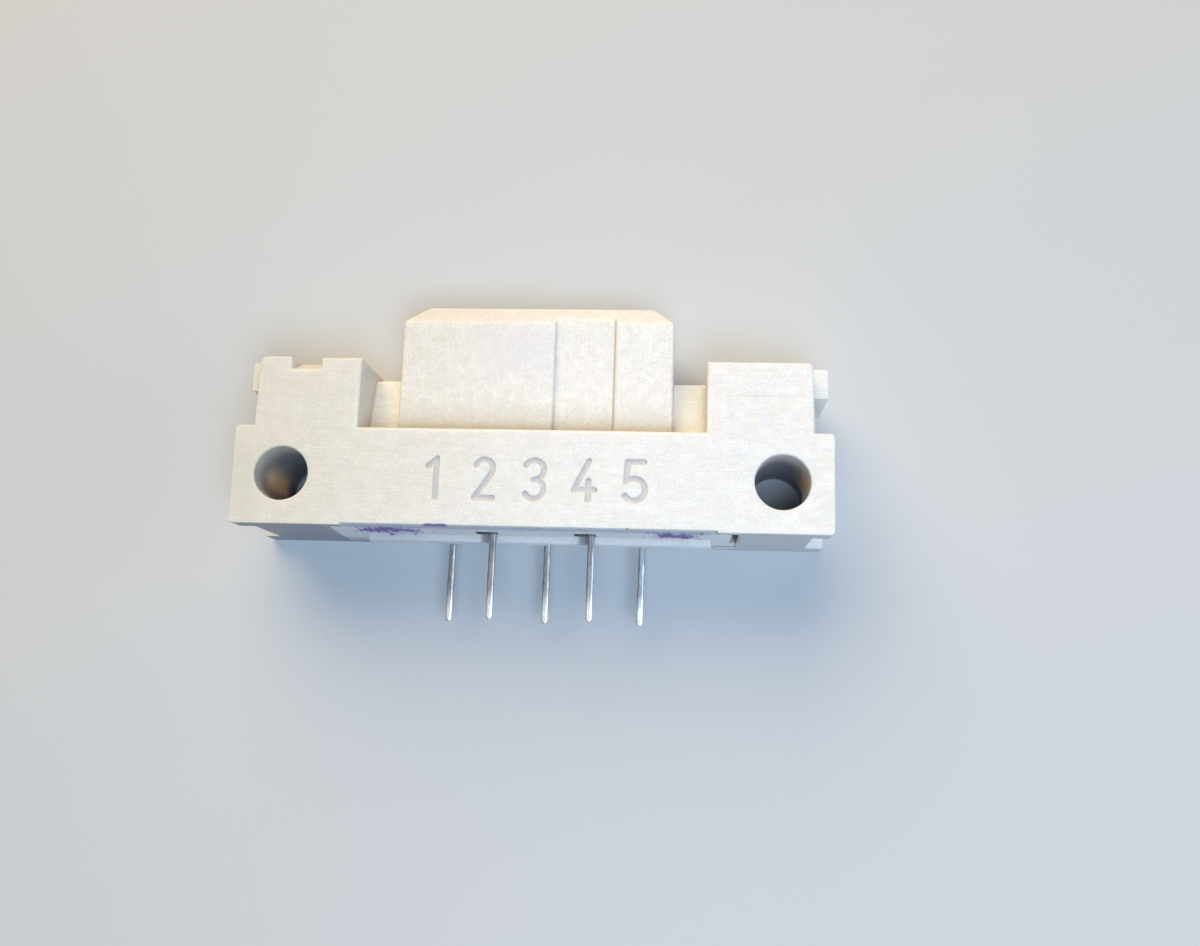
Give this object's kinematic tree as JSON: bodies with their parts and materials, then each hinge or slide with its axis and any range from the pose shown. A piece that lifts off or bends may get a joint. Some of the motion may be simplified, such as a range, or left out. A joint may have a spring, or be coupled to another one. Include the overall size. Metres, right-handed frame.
{
  "type": "printed circuit board socket",
  "caption": "Moulded board socket with a chamfered, keyed tongue between slotted towers, ears with screw holes, and spring contacts with staggered solder tails.",
  "frame": {"origin": "midway between the two mounting holes, on the back face of the housing", "axes": "+X along the flange, from the notched tower to the plain tower; +Y towards the mating side, the tails point to -Y; +Z out of the front face"},
  "size_m": [0.03, 0.0164, 0.0067],
  "materials": {
    "housing_plastic": "matte moulded thermoset, cream",
    "base_plastic": "matte moulded thermoset, pale grey",
    "contact_metal": "tin-plated, dull silver"
  },
  "bodies": {
    "root": {"housing": "housing_plastic", "contact_base": "base_plastic", "contact_1": "contact_metal", "contact_2": "contact_metal", "contact_3": "contact_metal", "contact_4": "contact_metal", "contact_5": "contact_metal"}
  },
  "joints": []
}
